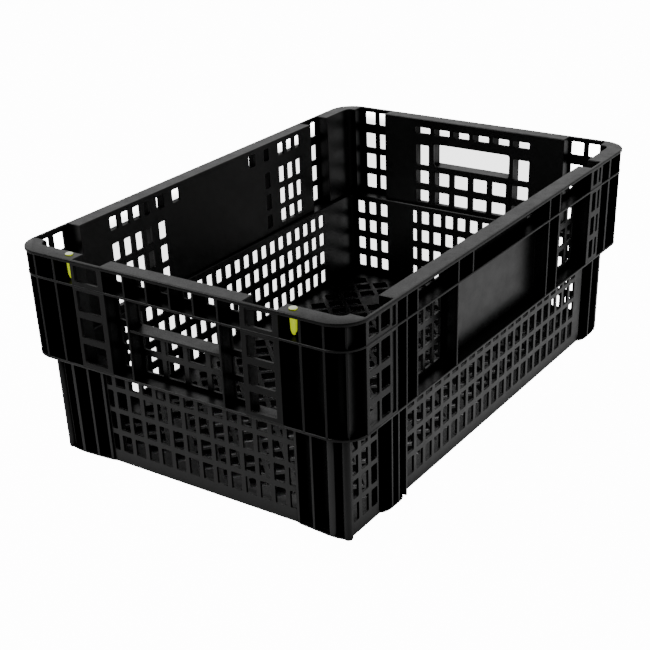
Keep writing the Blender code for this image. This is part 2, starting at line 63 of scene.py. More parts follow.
RIM = (LENGTH / 2, WIDTH / 2)
OUTER = (LENGTH / 2 - RIB_SETBACK, WIDTH / 2 - RIB_SETBACK)   # outline of the ribs
OUTER_RADIUS = CORNER_RADIUS - RIB_SETBACK
UPPER, UPPER_RADIUS = (281.0, 181.0), 8.0                     # inner faces
LOWER, LOWER_WALL, LOWER_RADIUS = (279.3, 179.3), 2.5, 8.0    # outer faces
FOOT = (283.8, 185.4)
SOLE_TOP = 3.0
POST, POST_RADIUS, POST_WIDTH = (282.0, 182.0), 4.4, 9.0      # corner posts
BOTTOM_ROUNDING = ((1.6, 0.0), (0.5, 0.45), (0.0, 1.6))       # inset, z
POCKET_DEPTH = 8.0                # blind pockets between the near feet's ribs

FLOOR_BOTTOM, FLOOR_TOP, FLOOR_EDGE = 2.0, 8.0, 12.0
CELL_PITCH, CELL_BAR = 33.0, 5.4  # diamond grid of the floor

GRIP_BOTTOM, GRIP_HALF = 171.0, 54.0
WINDOW_RADIUS, WINDOW_STEPS = 1.3, 3

TAG_X, TAG_Y = -288.2, 132.8
TAG_WIDTH, TAG_DEPTH, TAG_GAP = 6.8, 3.6, 0.3
HEAD_SHIFT, HEAD_RADIUS, HEAD_HEIGHT = 0.3, 4.0, 1.5

# Walls: the axis they face along and the sign of that direction.
NEAR_END, FAR_END, NEAR_SIDE, FAR_SIDE = (0, -1), (0, 1), (1, -1), (1, 1)

# Spans along each wall where the upper wall steps out to the ribs' outline.
STEPS_NEAR_END = [(-121.1, -83.8), (85.2, 120.5)]
STEPS_FAR_END = [(-170.0, -125.0), (125.0, 170.0)]
STEPS_NEAR_SIDE = [(-272.0, -225.0), (195.9, 221.2)]
STEPS_FAR_SIDE = [(-270.0, -222.5), (194.0, 232.0)]

# Spans of the feet.
FEET_FAR_END = [(-115.0, -88.0), (88.0, 115.0)]
FEET_SIDE = [(-225.0, -187.0), (229.5, 268.0)]


# ------------------------------------------------------------------- helpers
def arc(mid_x, mid_y, radius, start, end, steps):
    """Points of an arc between two angles in degrees."""
    angles = [math.radians(start + (end - start) * i / steps) for i in range(steps + 1)]
    return [(mid_x + radius * math.cos(a), mid_y + radius * math.sin(a)) for a in angles]


def round_rect(half, radius, steps=CORNER_STEPS, middle=(0.0, 0.0)):
    points = []
    for side_x, side_y, start in ((1, 1, 0), (-1, 1, 90), (-1, -1, 180), (1, -1, 270)):
        points += arc(middle[0] + side_x * (half[0] - radius),
                      middle[1] + side_y * (half[1] - radius),
                      radius, start, start + 90, steps)
    return points


def shrunk(half, inset):
    return half[0] - inset, half[1] - inset


def stepped_loop(grow):
    """Inner outline of the upper walls with its outward steps, grown by a distance."""
    half_x, half_y = shrunk(UPPER, -grow)
    out_x, out_y = shrunk(OUTER, WALL - grow)
    radius = UPPER_RADIUS + grow
    arc_x, arc_y = half_x - radius, half_y - radius

    def edge(spans, inner, outer):
        return [point for start, end in spans for point in (
            (start - grow, inner), (start - grow, outer),
            (end + grow, outer), (end + grow, inner))]

    loop = arc(arc_x, arc_y, radius, 0, 90, 6)
    loop += edge(STEPS_FAR_SIDE, half_y, out_y)[::-1]
    loop += arc(-arc_x, arc_y, radius, 90, 180, 6)
    loop += [(-depth, y) for y, depth in edge(STEPS_NEAR_END, half_x, out_x)[::-1]]
    loop += arc(-arc_x, -arc_y, radius, 180, 270, 6)
    loop += [(x, -depth) for x, depth in edge(STEPS_NEAR_SIDE, half_y, out_y)]
    loop += arc(arc_x, -arc_y, radius, 270, 360, 6)
    loop += [(depth, y) for y, depth in edge(STEPS_FAR_END, half_x, out_x)]
    return loop


def skin(mesh, rings, capped=True):
    """Faces over rings of vertices with equal counts."""
    mesh.faces.new(rings[0][::-1])
    if capped:
        mesh.faces.new(rings[-1])
    count = len(rings[0])
    for below, above in zip(rings, rings[1:]):
        for i in range(count):
            j = (i + 1) % count
            mesh.faces.new((below[i], below[j], above[j], above[i]))


def stack(mesh, levels):
    """Closed solid through a stack of (loop, z) with equal point counts."""
    skin(mesh, [[mesh.verts.new((x, y, z)) for x, y in loop] for loop, z in levels])


def prism(mesh, loop, heights):
    stack(mesh, [(loop, z) for z in heights])


def box(mesh, x_span, y_span, heights):
    x0, x1 = sorted(x_span)
    y0, y1 = sorted(y_span)
    prism(mesh, [(x0, y0), (x1, y0), (x1, y1), (x0, y1)], heights)


def wall_box(mesh, wall, span, depths, heights):
    """Box given by its span along a wall and its distances out from the middle."""
    axis, sign = wall
    across = [sign * depth for depth in depths]
    if axis == 0:
        box(mesh, across, span, heights)
    else:
        box(mesh, span, across, heights)


def wall_vertex(mesh, wall, along, depth, z):
    axis, sign = wall
    return mesh.verts.new((sign * depth, along, z) if axis == 0 else (along, sign * depth, z))


def window(mesh, wall, span, depths, heights, radius):
    """Cutter for one window: a rounded rectangle pushed through the wall."""
    (start, end), (bottom, top) = span, heights
    loop = round_rect(((end - start) / 2, (top - bottom) / 2), radius, WINDOW_STEPS,
                      ((start + end) / 2, (bottom + top) / 2))
    inner, outer = [[wall_vertex(mesh, wall, along, depth, z) for along, z in loop]
                    for depth in depths]
    mesh.faces.new(inner)
    mesh.faces.new(outer[::-1])
    for i in range(len(loop)):
        j = (i + 1) % len(loop)
        mesh.faces.new((inner[i], outer[i], outer[j], inner[j]))


def solid(name, build):
    mesh = bmesh.new()
    build(mesh)
    bmesh.ops.recalc_face_normals(mesh, faces=mesh.faces[:])
    data = bpy.data.meshes.new(name)
    mesh.to_mesh(data)
    mesh.free()
    obj = bpy.data.objects.new(name, data)
    bpy.context.scene.collection.objects.link(obj)
    return obj


def boolean(target, build, operation):
    """Join a built piece to the target, or cut it away, and apply the result."""
    tool = solid('tool', build)
    modifier = target.modifiers.new(operation.lower(), 'BOOLEAN')
    modifier.operation = operation
    modifier.solver = 'MANIFOLD'
    modifier.object = tool
    graph = bpy.context.evaluated_depsgraph_get()
    graph.update()
    result = bpy.data.meshes.new_from_object(target.evaluated_get(graph))
    target.modifiers.clear()
    old = target.data
    target.data = result
    bpy.data.meshes.remove(old)
    bpy.data.objects.remove(tool, do_unlink=True)


def shade(obj, sharp_degrees):
    obj.data.shade_smooth()
    obj.data.set_sharp_from_angle(angle=math.radians(sharp_degrees))


def mirrored(spans):
    return [(-end, -start) for start, end in spans] + spans


# --------------------------------------------------------------------- shell
def rim(mesh):
    stack(mesh, [(round_rect(shrunk(RIM, inset), CORNER_RADIUS - inset), z)
                 for inset, z in ((0.5, RIM_BOTTOM), (0.0, RIM_BOTTOM + 0.5),
                                  (0.0, HEIGHT - 1.0), (0.3, HEIGHT - 0.3), (1.0, HEIGHT))])


def upper_shell(mesh):
    prism(mesh, stepped_loop(WALL), (LEDGE_BOTTOM + 0.9, HEIGHT - 1.1))


def flange(mesh, grow, bottom, top):
    """Plate a little wider than the ribs' outline, its edges broken."""
    soft = 0.5
    stack(mesh, [(round_rect(shrunk(OUTER, inset - grow), OUTER_RADIUS + grow - inset), z)
                 for inset, z in ((soft, bottom), (0, bottom + soft),
                                  (0, top - soft), (soft, top))])


def mid_flange(mesh):
    flange(mesh, 0.5, MID_BOTTOM, MID_TOP)


def ledge(mesh):
    flange(mesh, 0.3, LEDGE_BOTTOM, LEDGE_TOP)


def lower_shell(mesh):
    stack(mesh, [(round_rect(shrunk(LOWER, inset), LOWER_RADIUS - inset * 0.6), z)
                 for inset, z in (*BOTTOM_ROUNDING, (0.0, LEDGE_BOTTOM + 1.2))])


def upper_cavity(mesh):
    """Hollow of the upper part, with the rim's inner edge broken all round."""
    lip = 0.7
    stack(mesh, [(stepped_loop(grow), z) for grow, z in (
        (0.0, LEDGE_TOP), (0.0, HEIGHT - lip), (lip, HEIGHT), (lip, HEIGHT + 5))])


def lower_cavity(mesh):
    radius = LOWER_RADIUS - LOWER_WALL
    stack(mesh, [(round_rect(shrunk(LOWER, LOWER_WALL + inset), radius - 0.4 * inset), z)
                 for inset, z in ((2.2, FLOOR_TOP), (0.6, FLOOR_TOP + 0.6),
                                  (0.0, FLOOR_TOP + 2.2), (0.0, LEDGE_TOP - 0.8),
                                  (-0.8, LEDGE_TOP), (-0.8, LEDGE_TOP + 5))])


# ---------------------------------------------------------------- upper ribs
FULL = (LEDGE_TOP - EMBED, RIM_BOTTOM + EMBED)    # ledge to rim
BAND = (MID_TOP - EMBED, RIM_BOTTOM + EMBED)      # middle flange to rim
FAR_RIB = 3.2
CORNER_RIB_Y, CORNER_RIB_X = 190.0, 281.0         # outer faces of the corner ribs

UPPER_RIBS = [    # wall, thickness, heights, middles along the wall
    (NEAR_END, RIB, FULL, (-56, 56)),
    (NEAR_END, 2.4, FULL, (-171.0, 171.0)),
    (NEAR_END, 2.7, FULL, (-146.4, 146.0)),
    (FAR_END, FAR_RIB, FULL, (-106.5, -84.5, -56.5, 55.5, 83.5, 105.5)),
    *[row for middle in (-28, 0, 28) for row in (
        (NEAR_END, RIB, BAND, (middle,)), (FAR_END, FAR_RIB, BAND, (middle - 0.5,)))],
    (NEAR_SIDE, RIB, FULL, (-206.2, -187.2, -110.8, 88, 113)),
    (NEAR_SIDE, 4.0, FULL, (245.3,)),
    (FAR_SIDE, RIB, FULL, (-208, -190, -113, 88, 113, 253)),
    (NEAR_SIDE, RIB, BAND, (-82,)),
    (FAR_SIDE, RIB, BAND, (-82,)),
]


def envelope(axis, along):
    """How far out the ribs' outline lies at a place along a wall."""
    reach, half_length = OUTER[axis], OUTER[1 - axis]
    over = abs(along) - (half_length - OUTER_RADIUS)
    if over <= 0:
        return reach
    return reach - OUTER_RADIUS + math.sqrt(OUTER_RADIUS ** 2 - over ** 2)


def upper_ribs(mesh):
    for wall, thickness, heights, middles in UPPER_RIBS:
        axis = wall[0]
        inner = UPPER[axis] + WALL - EMBED
        for middle in middles:
            span = (middle - thickness / 2, middle + thickness / 2)
            outer = min(envelope(axis, along) for along in span)
            wall_box(mesh, wall, span, (inner, outer), heights)
    # ribs at the corners, reaching out from the steps nearest to them
    for side in (-1, 1):
        box(mesh, (-envelope(0, CORNER_RIB_Y), STEPS_NEAR_SIDE[0][0] - WALL + EMBED),
            (side * (CORNER_RIB_Y - RIB), side * CORNER_RIB_Y), FULL)
        box(mesh, (CORNER_RIB_X - RIB, CORNER_RIB_X),
            (side * (STEPS_FAR_END[1][1] + WALL - EMBED),
             side * envelope(1, CORNER_RIB_X)), FULL)


# ---------------------------------------------------------------------- feet
def centred(middle):
    return middle - RIB / 2, middle + RIB / 2


NEAR_END_RIBS = [    # start, end, distance out
    (-166.9, -158.5, FOOT[0]), (-142.7, -140.4, 282.8), (-124.0, -121.7, 281.3),
    (115.8, 119.2, 281.3), (134.4, 137.4, 282.8), (153.6, 157.3, FOOT[0])]
SIDE_RIBS = [centred(middle) for middle in (-211.2, -199.0, -184.8, 246.8, 266.9)]

NEAR_END_SOLES = [    # outlines: along the wall, distance out
    [(-176.0, 282.0), (-167.0, FOOT[0]), (-158.0, FOOT[0]),
     (-141.0, 282.8), (-122.5, 281.2), (-118.5, 279.5)],
    [(113.5, 279.5), (117.5, 281.2), (136.0, 282.8), (154.0, FOOT[0]),
     (162.0, FOOT[0]), (175.0, 282.0)]]


def sole(mesh, wall, plan):
    """Low pad under a foot, its lower edge rounded off."""
    inner = LOWER[wall[0]] - EMBED
    middle = sum(along for along, _ in plan) / len(plan)
    rings = []
    for inset, z in ((2.4, 0.0), (0.8, 0.5), (0.2, 1.3), (0.0, 2.6), (0.0, SOLE_TOP)):
        outline = [(plan[0][0], inner)]
        for along, depth in plan:
            shift = inset if along < middle else -inset
            outline.append((along + shift, max(depth - inset, inner + 0.2)))
        outline.append((plan[-1][0], inner))
        rings.append([wall_vertex(mesh, wall, along, depth, z) for along, depth in outline])
    skin(mesh, rings)


def soles(mesh):
    for plan in NEAR_END_SOLES:
        sole(mesh, NEAR_END, plan)
    out = FOOT[0]
    for start, end in FEET_FAR_END:
        sole(mesh, FAR_END, [(start, out - 3.0), (start + 3.0, out - 0.6), (start + 6, out),
                             (end - 6, out), (end - 3.0, out - 0.6), (end, out - 3.0)])
    out = FOOT[1]
    for start, end in FEET_SIDE:
        for wall in (NEAR_SIDE, FAR_SIDE):
            sole(mesh, wall, [(start, out - 5.5), (start + 3.0, out - 2.8),
                              (start + 8.0, out - 0.8), (start + 13, out),
                              (end - 6, out), (end - 2.0, out - 1.2), (end, out - 3.5)])


def foot_ribs(mesh):
    heights = (SOLE_TOP - 1.0, LEDGE_BOTTOM + 0.7)
    ribs = [(NEAR_END, start, end, out) for start, end, out in NEAR_END_RIBS]
    for start, end in FEET_FAR_END:
        for middle in (start + RIB / 2, (start + end) / 2, end - RIB / 2):
            ribs.append((FAR_END, *centred(middle), FOOT[0]))
    for wall in (NEAR_SIDE, FAR_SIDE):
        ribs += [(wall, *span, FOOT[1]) for span in SIDE_RIBS]
    for wall, start, end, out in ribs:
        axis, sign = wall
        inner = LOWER[axis] - EMBED
        if end - start < 5:
            wall_box(mesh, wall, (start, end), (inner, out), heights)
        else:    # the broad rounded buttress of the near end
            radius = 3.0
            loop = [(inner, start)]
            loop += arc(out - radius, start + radius, radius, -90, 0, 5)
            loop += arc(out - radius, end - radius, radius, 0, 90, 5)
            loop += [(inner, end)]
            prism(mesh, [(sign * depth, along) for depth, along in loop], heights)


def posts(mesh):
    mid_x, mid_y = shrunk(POST, POST_WIDTH / 2)
    for side_x in (-1, 1):
        for side_y in (-1, 1):
            levels = []
            for inset, z in (*BOTTOM_ROUNDING, (0.0, LEDGE_BOTTOM + 0.7)):
                half = POST_WIDTH / 2 - inset * 0.8
                levels.append((round_rect((half, half), POST_RADIUS - inset * 0.8, 8,
                                          (side_x * mid_x, side_y * mid_y)), z))
            stack(mesh, levels)


def pocket_backs(mesh):
    """The near walls step in behind the pockets of the feet."""
    end_spans = [(117.9 * side - 1.8, side * (LOWER[1] - 1.2)) for side in (-1, 1)]
    for wall, spans in ((NEAR_END, end_spans),
                        (NEAR_SIDE, [(-228.6, -182.6), (229.6, 268.6)])):
        outer = LOWER[wall[0]]
        for span in spans:
            wall_box(mesh, wall, span, (outer - 1.2, outer - LOWER_WALL - POCKET_DEPTH),
                     (FLOOR_BOTTOM + 0.6, LEDGE_BOTTOM + 0.9))


def between(spans):
    """Gaps between neighbouring spans."""
    return [(left[1], right[0]) for left, right in zip(spans, spans[1:])]


def pockets(mesh):
    # a pair of equal numbers marks where a row of pockets starts or ends
    end_pockets = (between([(-173.0, -173.0), *NEAR_END_RIBS[:3]])
                   + between([*NEAR_END_RIBS[3:], (171.5, 171.5)]))
    side_pockets = (between([(-226.6, -226.6), *SIDE_RIBS[:3]])
                    + between([(231.6, 231.6), *SIDE_RIBS[3:]]))
    for wall, spans in ((NEAR_END, end_pockets), (NEAR_SIDE, side_pockets)):
        outer = LOWER[wall[0]]
        for span in spans:
            wall_box(mesh, wall, span, (outer - POCKET_DEPTH, outer + 20.0),
                     (SOLE_TOP + 1.4, LEDGE_BOTTOM - 0.2))


# ------------------------------------------------------------------- windows
# Rows of windows: bottom and top heights.
LOWER_ROWS = [(15.0, 34.0), (40.0, 59.5), (65.0, 84.5), (90.0, 109.5)]
LOWER_ROWS_FAR_END = [(17.5, 33.0), (42.0, 58.3), (67.2, 83.9), (92.4, 109.2)]
LOWER_ROWS_FAR_SIDE = [(15.3, 32.8), (41.4, 58.1), (66.6, 83.3), (91.6, 108.2)]
NEAR_SIDE_ROWS = [(123.0, 142.0), (147.5, 167.5), (173.5, 195.5), (209.5, 224.5)]
FAR_SIDE_ROWS = [(123.5, 140.5), (147.4, 167.2), (174.8, 194.7), (209.5, 224.4)]
NEAR_STEP_ROWS = [(121.0, 142.0), (149.0, 170.0), (177.0, 199.0), (208.0, 225.0)]
FAR_END_STEP_ROWS = [(122.5, 141.0), (149.3, 168.8), (177.0, 196.5), (208.3, 224.6)]
FAR_SIDE_STEP_ROWS = [(120.6, 140.3), (147.3, 167.4), (174.4, 194.6), (205.5, 224.6)]

# Spans of windows along the walls.
END_PITCH = 27.6
SQUARES = [(k * END_PITCH + END_PITCH / 2 - 11, k * END_PITCH + END_PITCH / 2 + 11)
           for k in range(-3, 3)]
FAR_SQUARES = [(-80.4, -59.0), (-50.1, -30.6), (-23.4, -4.1),
               (3.6, 22.9), (30.5, 50.7), (60.2, 78.6)]
NEAR_SIDE_GROUPS = mirrored([(94.0, 108.0), (118.5, 130.5), (134.0, 147.0),
                             (151.0, 165.0), (170.0, 183.0)])
FAR_SIDE_GROUPS = [
    (-178.7, -167.0), (-160.4, -148.8), (-142.0, -130.7), (-124.5, -115.5),
    (-103.7, -91.3), (94.0, 104.0), (123.5, 135.2), (141.6, 153.1), (159.2, 169.6)]
SIDE_TOP_SPANS = mirrored([(64.0, 77.0)])
LOWER_SIDE_SPANS = [(-271.0, -261.5), (-256.0, -244.5), (-239.5, -229.0)]

# Grids of the lower walls: pitch, bar width and where the bars stand.
LOWER_END_PITCH, LOWER_SIDE_PITCH, LOWER_BAR = 17.8, 17.71, 5.0
LOWER_END_BAR, LOWER_SIDE_BAR = -3.0, -175.7    # middles of a bar
FAR_PITCH, FAR_BAR = 17.85, 6.6
FAR_SIDE_START, FAR_SIDE_PITCH, FAR_SIDE_WINDOW = 198.3, 17.98, 11.0

# How the cutters reach through: outer half sizes, clearance outside, depth inward.
UPPER_CUT = (shrunk(UPPER, -WALL), 0.05, WALL + 3)
STEP_CUT = (OUTER, 3, WALL + 5)
LOWER_CUT = (LOWER, 0.05, LOWER_WALL + 3)


def near_end_grid():
    """Windows between evenly spaced bars that stand a little off centre."""
    bars = [LOWER_END_BAR + (k - 7) * LOWER_END_PITCH for k in range(15)]
    return [(max(left + LOWER_BAR / 2, -119.6), min(right - LOWER_BAR / 2, 113.8))
            for left, right in zip(bars, bars[1:])]


def far_end_grid():
    half = (FAR_PITCH - FAR_BAR) / 2
    middles = [(k + 0.5) * FAR_PITCH + 0.7 for k in range(-4, 4)]
    return [(middle - half, middle + half) for middle in middles]


def near_side_grid():
    starts = [LOWER_SIDE_BAR + k * LOWER_SIDE_PITCH + LOWER_BAR / 2 for k in range(22)]
    return [(start, start + LOWER_SIDE_PITCH - LOWER_BAR) for start in starts]


def far_side_grid():
    starts = [FAR_SIDE_START - FAR_SIDE_PITCH * k for k in range(22)]
    return [(start, start + FAR_SIDE_WINDOW) for start in starts]


def windows(mesh):
    groups = [    # wall, cut, spans along the wall, rows, corner radius if not the usual
        (NEAR_END, UPPER_CUT, SQUARES, [(120.5, 139.0), (145.0, 164.5)]),
        (NEAR_END, UPPER_CUT, SQUARES, [(210.5, 221.0)]),
        (NEAR_END, UPPER_CUT, [SQUARES[0], SQUARES[-1]], [(171.0, 198.0)]),
        (NEAR_END, UPPER_CUT, [(-GRIP_HALF, GRIP_HALF)], [(GRIP_BOTTOM, 200.8)], 3.0),
        (FAR_END, UPPER_CUT, FAR_SQUARES, [(121.0, 137.1), (146.0, 162.9)]),
        (FAR_END, UPPER_CUT, SQUARES, [(211.6, 219.3)]),
        (FAR_END, UPPER_CUT, [FAR_SQUARES[0], FAR_SQUARES[-1]], [(170.3, 196.4)]),
        (FAR_END, UPPER_CUT, [(-GRIP_HALF + 0.6, GRIP_HALF - 1.0)],
         [(GRIP_BOTTOM, 200.0)], 3.0),
        (NEAR_END, STEP_CUT, [(-117.0, -86.9), (88.9, 119.0)], NEAR_STEP_ROWS),
        (FAR_END, STEP_CUT, mirrored([(127.4, 143.6), (149.4, 164.2)]), FAR_END_STEP_ROWS),
        (NEAR_SIDE, UPPER_CUT, NEAR_SIDE_GROUPS, NEAR_SIDE_ROWS),
        (FAR_SIDE, UPPER_CUT, FAR_SIDE_GROUPS, FAR_SIDE_ROWS),
        (NEAR_SIDE, UPPER_CUT, SIDE_TOP_SPANS, NEAR_SIDE_ROWS[3:]),
        (FAR_SIDE, UPPER_CUT, SIDE_TOP_SPANS, NEAR_SIDE_ROWS[3:]),
        (NEAR_SIDE, STEP_CUT,
         [(-270.0, -254.0), (-250.5, -235.4), (199.3, 209.3), (214.0, 219.6)],
         NEAR_STEP_ROWS),
        (FAR_SIDE, STEP_CUT,
         [(-266.5, -252.0), (-246.0, -231.5), (197.0, 210.0), (216.0, 227.6)],
         FAR_SIDE_STEP_ROWS),
        (NEAR_END, LOWER_CUT, near_end_grid(), LOWER_ROWS),
        (FAR_END, LOWER_CUT, far_end_grid(), LOWER_ROWS_FAR_END),
        (FAR_END, LOWER_CUT, [(-82.4, -75.0), (75.8, 81.9)], LOWER_ROWS_FAR_END),
        (FAR_END, LOWER_CUT, mirrored([(121.2, 131.8), (138.9, 149.7), (156.6, 167.2)]),
         LOWER_ROWS_FAR_END),
        (NEAR_SIDE, LOWER_CUT, near_side_grid(), LOWER_ROWS),
        (FAR_SIDE, LOWER_CUT, far_side_grid(), LOWER_ROWS_FAR_SIDE),
        (NEAR_SIDE, LOWER_CUT, LOWER_SIDE_SPANS, LOWER_ROWS),
        (FAR_SIDE, LOWER_CUT, LOWER_SIDE_SPANS, LOWER_ROWS_FAR_SIDE),
    ]
    for wall, (half, clearance, depth), spans, rows, *special in groups:
        outer = half[wall[0]] + clearance
        radius = special[0] if special else WINDOW_RADIUS
        for span in spans:
            for heights in rows:
                window(mesh, wall, span, (outer - depth, outer), heights, radius)


# ------------------------------------------------------------- smaller parts
def grip_sills(mesh):
    for wall in (NEAR_END, FAR_END):
        wall_box(mesh, wall, (-56.0, 56.0), (UPPER[0] + WALL - EMBED, OUTER[0] - 0.6),
                 (GRIP_BOTTOM - 2.6, GRIP_BOTTOM))


def tag_guides(mesh):
    """Small guide cheeks on both sides of each tag, under its slot."""
    for tag_side in (-1, 1):
        for side in (-1, 1):
            y = tag_side * TAG_Y + side * (TAG_WIDTH / 2 + 1.4)
            box(mesh, (TAG_X - 3.2, TAG_X + 3.4), (y - 0.8, y + 0.8),
                (MID_TOP - EMBED, MID_TOP + 5.0))


def tag_slots(mesh):
    half_x, half_y = TAG_DEPTH / 2 + TAG_GAP, TAG_WIDTH / 2 + TAG_GAP
    for side in (-1, 1):
        y = side * TAG_Y
        box(mesh, (TAG_X - half_x, TAG_X + half_x), (y - half_y, y + half_y),
            (RIM_BOTTOM - 2, HEIGHT + 2))


def floor_recess(mesh):
    prism(mesh, round_rect(shrunk(LOWER, FLOOR_EDGE), 6.0), (-5, FLOOR_BOTTOM))


def grooves(mesh):
    for heights in ((LEDGE_TOP + 2.0, MID_BOTTOM - 1.5), (MID_TOP + 1.5, RIM_BOTTOM - 1.5)):
        wall_box(mesh, NEAR_SIDE, (-232.0, -225.6), (OUTER[1] - 1.6, OUTER[1] + 3), heights)


def floor_diamonds(mesh):
    """Square holes turned by 45 degrees, on a staggered grid."""
    half_x, half_y = shrunk(LOWER, LOWER_WALL + FLOOR_EDGE)
    step = CELL_PITCH / 2
    reach = step - CELL_BAR / math.sqrt(2)
    side = reach / math.sqrt(2)
    diagonal = math.cos(math.pi / 4), math.sin(math.pi / 4)
    count_x, count_y = int(half_x // step), int(half_y // step)
    for i in range(-count_x, count_x + 1):
        for j in range(-count_y, count_y + 1):
            mid_x, mid_y = i * step, j * step
            if (i + j) % 2 or abs(mid_x) + reach > half_x or abs(mid_y) + reach > half_y:
                continue
            if (abs(i) == 12 and abs(j) in (6, 0)) or (i == 0 and j == 0):
                continue          # solid pads where the moulding was gated
            loop = [(mid_x + x * diagonal[0] - y * diagonal[1],
                     mid_y + x * diagonal[1] + y * diagonal[0])
                    for x, y in round_rect((side, side), 1.2, 2)]
            prism(mesh, loop, (FLOOR_BOTTOM - 2, FLOOR_TOP + 2))


# ------------------------------------------------------------ crate and tags
CRATE_STEPS = [    # in working order
    ('UNION', (upper_shell, mid_flange, ledge, lower_shell, upper_ribs,
               soles, foot_ribs, posts, grip_sills, tag_guides)),
    ('DIFFERENCE', (upper_cavity, lower_cavity)),
    ('UNION', (pocket_backs,)),
    ('DIFFERENCE', (pockets, floor_recess, windows, grooves, floor_diamonds, tag_slots)),
]


def build_crate():
    body = solid('crate_moulding', rim)
    for operation, pieces in CRATE_STEPS:
        for piece in pieces:
            boolean(body, piece, operation)
    # draft the whole body inward below the rim
    for vertex in body.data.vertices:
        drop = DRAFT * (HEIGHT - vertex.co.z)
        vertex.co.x *= 1.0 - drop / (LENGTH / 2)
        vertex.co.y *= 1.0 - drop / (WIDTH / 2)
        vertex.co *= MM
    mesh = bmesh.new()
    mesh.from_mesh(body.data)
    bmesh.ops.remove_doubles(mesh, verts=mesh.verts[:], dist=2e-6)
    bmesh.ops.dissolve_degenerate(mesh, dist=1e-6, edges=mesh.edges[:])
    bmesh.ops.recalc_face_normals(mesh, faces=mesh.faces[:])
    mesh.to_mesh(body.data)
    mesh.free()
    shade(body, 32)
    return body


# A tag's own z = 0 is the top of the rim.
def tag_head(mesh):
    """Domed round head."""
    sides = 40
    profile = [(HEAD_RADIUS - 0.45, TAG_GAP), (HEAD_RADIUS - 0.12, TAG_GAP + 0.12),
               (HEAD_RADIUS, TAG_GAP + 0.4)]
    for i in range(1, 9):
        angle = math.radians(90 * i / 9)
        profile.append((HEAD_RADIUS * math.cos(angle) ** 0.75,
                        TAG_GAP + 0.4 + (HEAD_HEIGHT - 0.4) * math.sin(angle)))
    rings = [[mesh.verts.new((HEAD_SHIFT + radius * math.cos(2 * math.pi * i / sides),
                              radius * math.sin(2 * math.pi * i / sides), z))
              for i in range(sides)] for radius, z in profile]
    top = mesh.verts.new((HEAD_SHIFT, 0, TAG_GAP + HEAD_HEIGHT))
    skin(mesh, rings, capped=False)
    for i in range(sides):
        mesh.faces.new((rings[-1][i], rings[-1][(i + 1) % sides], top))


def tag_stem(mesh):
    """Flat stem, tapered to a nose."""
    tip = -24.6
    levels = []
    for narrower, thinner, z in (    # taken off the half width and half depth
            (2.3, 1.3, tip), (1.6, 0.9, tip + 1.0), (0.9, 0.5, tip + 3.0),
            (0.5, 0.3, tip + 5.0), (0.15, 0.1, -RIM_HEIGHT - 5.5),
            (0.0, 0.0, -RIM_HEIGHT - 3.0), (0.0, 0.0, TAG_GAP + 0.5)):
        half_x, half_y = TAG_DEPTH / 2 - thinner, TAG_WIDTH / 2 - narrower
        levels.append((round_rect((half_x, half_y), min(0.8, half_x * 0.6), 4), z))
    stack(mesh, levels)


def tag_spine(mesh):
    """Raised rib down the stem's outer face."""
    prism(mesh, round_rect((0.5, 1.1), 0.4, 3, (-TAG_DEPTH / 2 + 0.45, 0)),
          (-18.5, -RIM_HEIGHT - 1.2))


def build_tag(name, side):
    tag = solid(name, tag_head)
    boolean(tag, tag_stem, 'UNION')
    boolean(tag, tag_spine, 'UNION')
    for vertex in tag.data.vertices:
        vertex.co *= MM
    shade(tag, 40)
    tag.location = (TAG_X * MM, side * TAG_Y * MM, HEIGHT * MM)
    return tag


# -------------------------------------------------------------- shader nodes
def new_material(name):
    material = bpy.data.materials.new(name)
    material.use_nodes = True
    tree = material.node_tree
    return material, tree, tree.nodes['Principled BSDF']


def feed(tree, socket, value):
    """Link a socket to another one, or set its value."""
    if isinstance(value, bpy.types.NodeSocket):
        tree.links.new(value, socket)
    else:
        socket.default_value = value


def add(tree, kind, inputs=None, **settings):
    node = tree.nodes.new(kind)
    for key, value in settings.items():
        setattr(node, key, value)
    for key, value in (inputs or {}).items():
        feed(tree, node.inputs[key], value)
    return node


def maths(tree, operation, one, two=0.5):
    return add(tree, 'ShaderNodeMath', {0: one, 1: two}, operation=operation).outputs[0]


def dot(tree, one, two):
    return add(tree, 'ShaderNodeVectorMath', {0: one, 1: two},
               operation='DOT_PRODUCT').outputs['Value']


def split(tree, vector):
    return add(tree, 'ShaderNodeSeparateXYZ', {0: vector}).outputs


def noise(tree, coord, scale, detail, rough):
    return add(tree, 'ShaderNodeTexNoise', {'Scale': scale, 'Detail': detail,
                                            'Roughness': rough, 'Vector': coord}).outputs[0]


def remap(tree, value, span=(0.0, 1.0), to=(0.0, 1.0), smooth=False):
    node = add(tree, 'ShaderNodeMapRange', {
        'From Min': span[0], 'From Max': span[1], 'To Min': to[0], 'To Max': to[1],
        'Value': value})
    if smooth:
        node.interpolation_type = 'SMOOTHSTEP'
    return node.outputs['Result']


def blend_colour(tree, factor, one, two):
    # sockets 6 and 7 are the two colours, output 2 the mixed colour
    return add(tree, 'ShaderNodeMix', {0: factor, 6: one, 7: two},
               data_type='RGBA').outputs[2]


def bump(tree, height, normal, strength, distance):
    return add(tree, 'ShaderNodeBump', {'Strength': strength, 'Distance': distance,
                                        'Height': height, 'Normal': normal}).outputs[0]


def by_ray(tree, camera, glossy, other):
    """Strength that depends on which kind of ray meets the surface."""
    path = add(tree, 'ShaderNodeLightPath').outputs

    def pick(factor, low, high):
        return add(tree, 'ShaderNodeMix', {0: factor, 2: low, 3: high},
                   data_type='FLOAT').outputs[0]

    return pick(path['Is Camera Ray'], pick(path['Is Glossy Ray'], other, glossy), camera)


